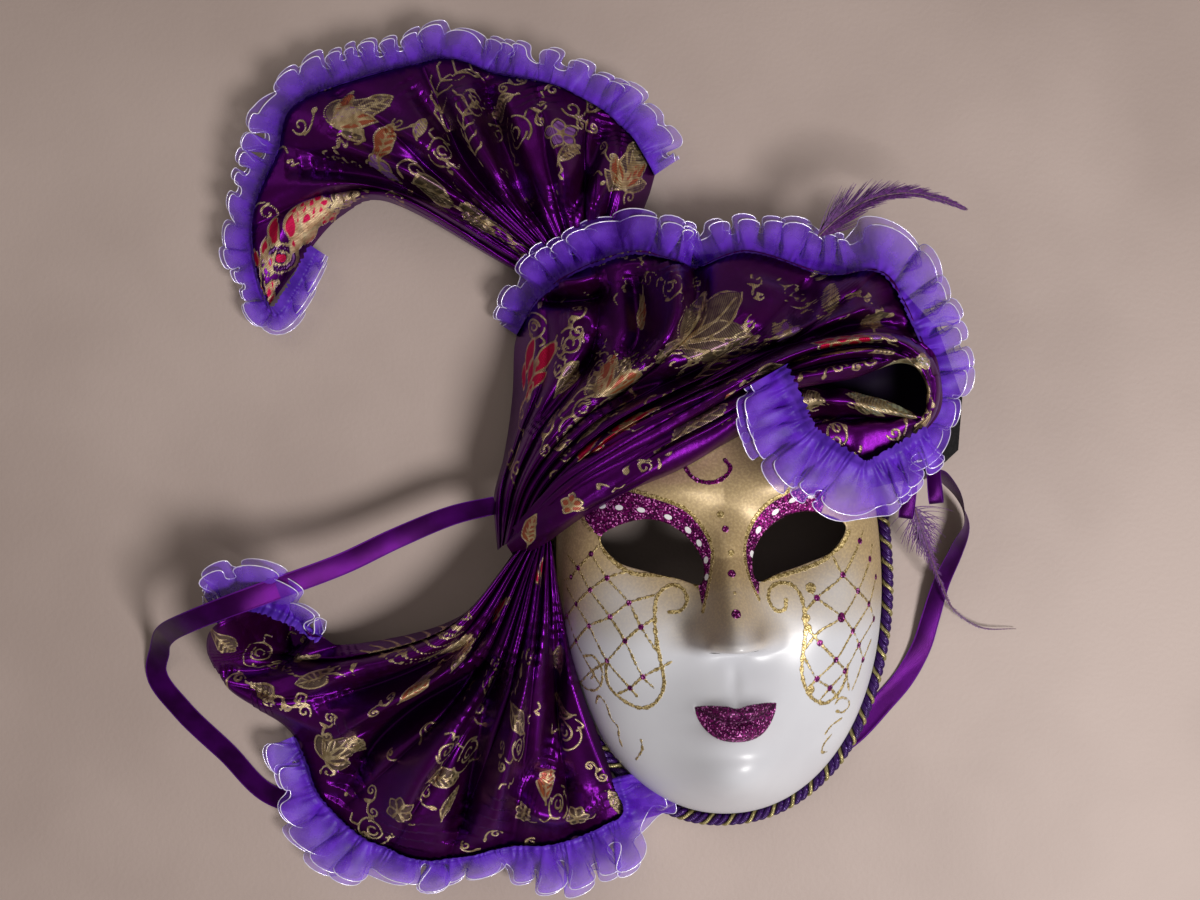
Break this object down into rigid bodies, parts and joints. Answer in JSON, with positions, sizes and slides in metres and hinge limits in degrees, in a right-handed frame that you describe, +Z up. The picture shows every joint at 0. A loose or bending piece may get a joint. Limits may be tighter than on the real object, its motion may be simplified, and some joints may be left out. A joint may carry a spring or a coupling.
{
  "type": "masquerade mask",
  "caption": "Full-face carnival mask with a pleated brocade turban, curling horn, cloth fan, ruffles, tie ribbons and feathers, lying face up.",
  "frame": {"origin": "middle of the underside of the mask as it lies face up, measured without the two loose ties", "axes": "+Z up out of the face, +Y from the chin towards the crown, +X to the viewer's right"},
  "size_m": [0.4329, 0.4322, 0.0999],
  "materials": {
    "face_paint": "ivory satin paint, gold airbrush at the brow, purple and gold glitter lines",
    "twisted_cord": "purple and gold three-strand twisted cord",
    "black_felt": "black felt",
    "brocade": "deep purple satin brocade with woven gold motifs",
    "organza": "sheer blue-violet organza with a shiny wired edge",
    "satin_ribbon": "purple satin ribbon",
    "feather": "dark purple feather"
  },
  "bodies": {
    "root": {"face_shell": "face_paint", "rim_cord": "twisted_cord", "felt_backing": "black_felt", "turban_cloth": "brocade", "horn_cloth": "brocade", "fan_cloth": "brocade", "crown_ruffle": "organza", "pocket_ruffle": "organza", "horn_ruffle": "organza", "fan_ruffle": "organza", "curl_ruffle": "organza", "ribbon_loop_1": "satin_ribbon", "ribbon_loop_2": "satin_ribbon", "left_tie": "satin_ribbon", "right_tie": "satin_ribbon", "top_feather": "feather", "side_feather": "feather"}
  },
  "joints": []
}
